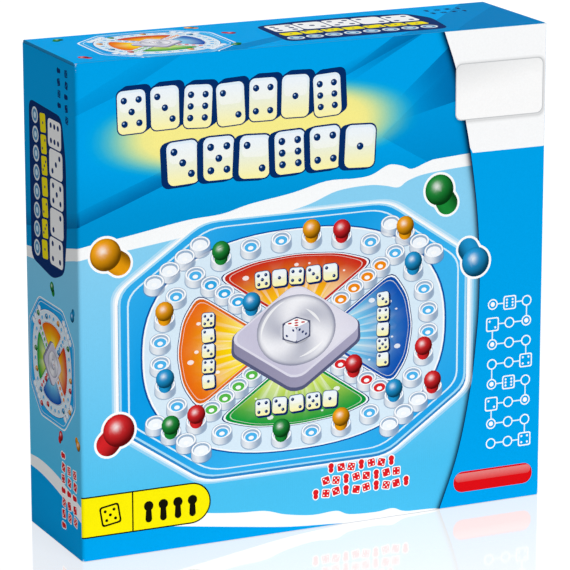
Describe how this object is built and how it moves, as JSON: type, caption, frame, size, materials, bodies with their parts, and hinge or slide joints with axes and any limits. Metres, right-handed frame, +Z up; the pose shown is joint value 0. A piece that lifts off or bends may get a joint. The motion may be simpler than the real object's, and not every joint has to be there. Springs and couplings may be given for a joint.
{
  "type": "pop up dice board game",
  "caption": "Upright tuck-top retail carton holding an octagonal pop-dice board game: hinged top flaps, coloured pegs in clear cups, die under a pressable dome.",
  "frame": {"origin": "middle of the carton's footprint, on the surface it stands on", "axes": "+X to the right along the front, +Y to the back, +Z up; the printed front faces -Y"},
  "size_m": [0.27, 0.074, 0.263],
  "materials": {
    "printed_card": "satin",
    "plain_card": "matte",
    "kraft_card": "matte",
    "leaflet_paper": "matte",
    "blue_plastic": "gloss",
    "board_card": "satin",
    "clear_plastic": "gloss",
    "grey_plastic": "gloss",
    "white_plastic": "satin",
    "die_plastic": "gloss",
    "spring_steel": "satin",
    "screw_steel": "satin",
    "rubber_feet": "matte",
    "yellow_plastic": "gloss",
    "blue_plastic_peg": "gloss",
    "green_plastic": "gloss",
    "red_plastic": "gloss"
  },
  "bodies": {
    "carton": {"front_panel": "printed_card", "back_panel": "printed_card", "left_side_panel": "printed_card", "right_side_panel": "printed_card", "glue_flap": "plain_card", "bottom_outer_flap": "printed_card", "bottom_inner_flap": "plain_card", "bottom_dust_flap_left": "plain_card", "bottom_dust_flap_right": "plain_card", "side_filler_left": "kraft_card", "side_filler_right": "kraft_card", "rules_leaflet": "leaflet_paper", "housing": "blue_plastic", "bottom_cover": "blue_plastic", "printed_board": "board_card", "clear_cover": "clear_plastic", "track_cups": "clear_plastic", "home_cups": "clear_plastic", "start_cups": "clear_plastic", "popper_bezel": "grey_plastic", "snap_disc": "spring_steel", "popper_cup": "white_plastic", "housing_screws": "screw_steel", "popper_screws": "screw_steel", "feet": "rubber_feet"},
    "lid": {"lid_flap": "printed_card"},
    "tuck": {"tuck_flap": "printed_card"},
    "dust_left": {"dust_flap_left": "plain_card"},
    "dust_right": {"dust_flap_right": "plain_card"},
    "dome": {"dome": "clear_plastic"},
    "die": {"die": "die_plastic"},
    "peg_yellow_1": {"peg_yellow_1": "yellow_plastic"},
    "peg_yellow_2": {"peg_yellow_2": "yellow_plastic"},
    "peg_yellow_3": {"peg_yellow_3": "yellow_plastic"},
    "peg_yellow_4": {"peg_yellow_4": "yellow_plastic"},
    "peg_blue_1": {"peg_blue_1": "blue_plastic_peg"},
    "peg_blue_2": {"peg_blue_2": "blue_plastic_peg"},
    "peg_blue_3": {"peg_blue_3": "blue_plastic_peg"},
    "peg_blue_4": {"peg_blue_4": "blue_plastic_peg"},
    "peg_green_1": {"peg_green_1": "green_plastic"},
    "peg_green_2": {"peg_green_2": "green_plastic"},
    "peg_green_3": {"peg_green_3": "green_plastic"},
    "peg_green_4": {"peg_green_4": "green_plastic"},
    "peg_red_1": {"peg_red_1": "red_plastic"},
    "peg_red_2": {"peg_red_2": "red_plastic"},
    "peg_red_3": {"peg_red_3": "red_plastic"},
    "peg_red_4": {"peg_red_4": "red_plastic"}
  },
  "joints": [
    {"name": "lid_open", "type": "hinge", "parent": "carton", "child": "lid", "pos_m": [0, 0.037, 0.2615], "axis": [-1, 0, 0], "range_deg": [0, 180]},
    {"name": "tuck_fold", "type": "hinge", "parent": "lid", "child": "tuck", "pos_m": [0, -0.0352, 0.2615], "axis": [-1, 0, 0], "range_deg": [0, 54]},
    {"name": "dust_left_fold", "type": "hinge", "parent": "carton", "child": "dust_left", "pos_m": [-0.1335, 0, 0.26135], "axis": [0, -1, 0], "range_deg": [0, 81]},
    {"name": "dust_right_fold", "type": "hinge", "parent": "carton", "child": "dust_right", "pos_m": [0.1335, 0, 0.26135], "axis": [0, 1, 0], "range_deg": [0, 81]},
    {"name": "dome_press", "type": "slide", "parent": "carton", "child": "dome", "axis": [0, 1, 0], "range_m": [0, 0.003], "stiffness_N_per_m": 4000, "deforming": ["snap_disc"]},
    {"name": "die_hop", "type": "slide", "parent": "carton", "child": "die", "axis": [0, -1, 0], "range_m": [0, 0.008]},
    {"name": "peg_yellow_1_lift", "type": "slide", "parent": "carton", "child": "peg_yellow_1", "axis": [0, -1, 0], "range_m": [0, 0.012]},
    {"name": "peg_yellow_2_lift", "type": "slide", "parent": "carton", "child": "peg_yellow_2", "axis": [0, -1, 0], "range_m": [0, 0.012]},
    {"name": "peg_yellow_3_lift", "type": "slide", "parent": "carton", "child": "peg_yellow_3", "axis": [0, -1, 0], "range_m": [0, 0.012]},
    {"name": "peg_yellow_4_lift", "type": "slide", "parent": "carton", "child": "peg_yellow_4", "axis": [0, -1, 0], "range_m": [0, 0.012]},
    {"name": "peg_blue_1_lift", "type": "slide", "parent": "carton", "child": "peg_blue_1", "axis": [0, -1, 0], "range_m": [0, 0.012]},
    {"name": "peg_blue_2_lift", "type": "slide", "parent": "carton", "child": "peg_blue_2", "axis": [0, -1, 0], "range_m": [0, 0.012]},
    {"name": "peg_blue_3_lift", "type": "slide", "parent": "carton", "child": "peg_blue_3", "axis": [0, -1, 0], "range_m": [0, 0.012]},
    {"name": "peg_blue_4_lift", "type": "slide", "parent": "carton", "child": "peg_blue_4", "axis": [0, -1, 0], "range_m": [0, 0.012]},
    {"name": "peg_green_1_lift", "type": "slide", "parent": "carton", "child": "peg_green_1", "axis": [0, -1, 0], "range_m": [0, 0.012]},
    {"name": "peg_green_2_lift", "type": "slide", "parent": "carton", "child": "peg_green_2", "axis": [0, -1, 0], "range_m": [0, 0.012]},
    {"name": "peg_green_3_lift", "type": "slide", "parent": "carton", "child": "peg_green_3", "axis": [0, -1, 0], "range_m": [0, 0.012]},
    {"name": "peg_green_4_lift", "type": "slide", "parent": "carton", "child": "peg_green_4", "axis": [0, -1, 0], "range_m": [0, 0.012]},
    {"name": "peg_red_1_lift", "type": "slide", "parent": "carton", "child": "peg_red_1", "axis": [0, -1, 0], "range_m": [0, 0.012]},
    {"name": "peg_red_2_lift", "type": "slide", "parent": "carton", "child": "peg_red_2", "axis": [0, -1, 0], "range_m": [0, 0.012]},
    {"name": "peg_red_3_lift", "type": "slide", "parent": "carton", "child": "peg_red_3", "axis": [0, -1, 0], "range_m": [0, 0.012]},
    {"name": "peg_red_4_lift", "type": "slide", "parent": "carton", "child": "peg_red_4", "axis": [0, -1, 0], "range_m": [0, 0.012]}
  ],
  "couplings": [
    {"joint": "tuck_fold", "follows": "lid_open", "ratio": 0.3},
    {"joint": "dust_left_fold", "follows": "lid_open", "ratio": 0.45},
    {"joint": "dust_right_fold", "follows": "lid_open", "ratio": 0.45}
  ]
}
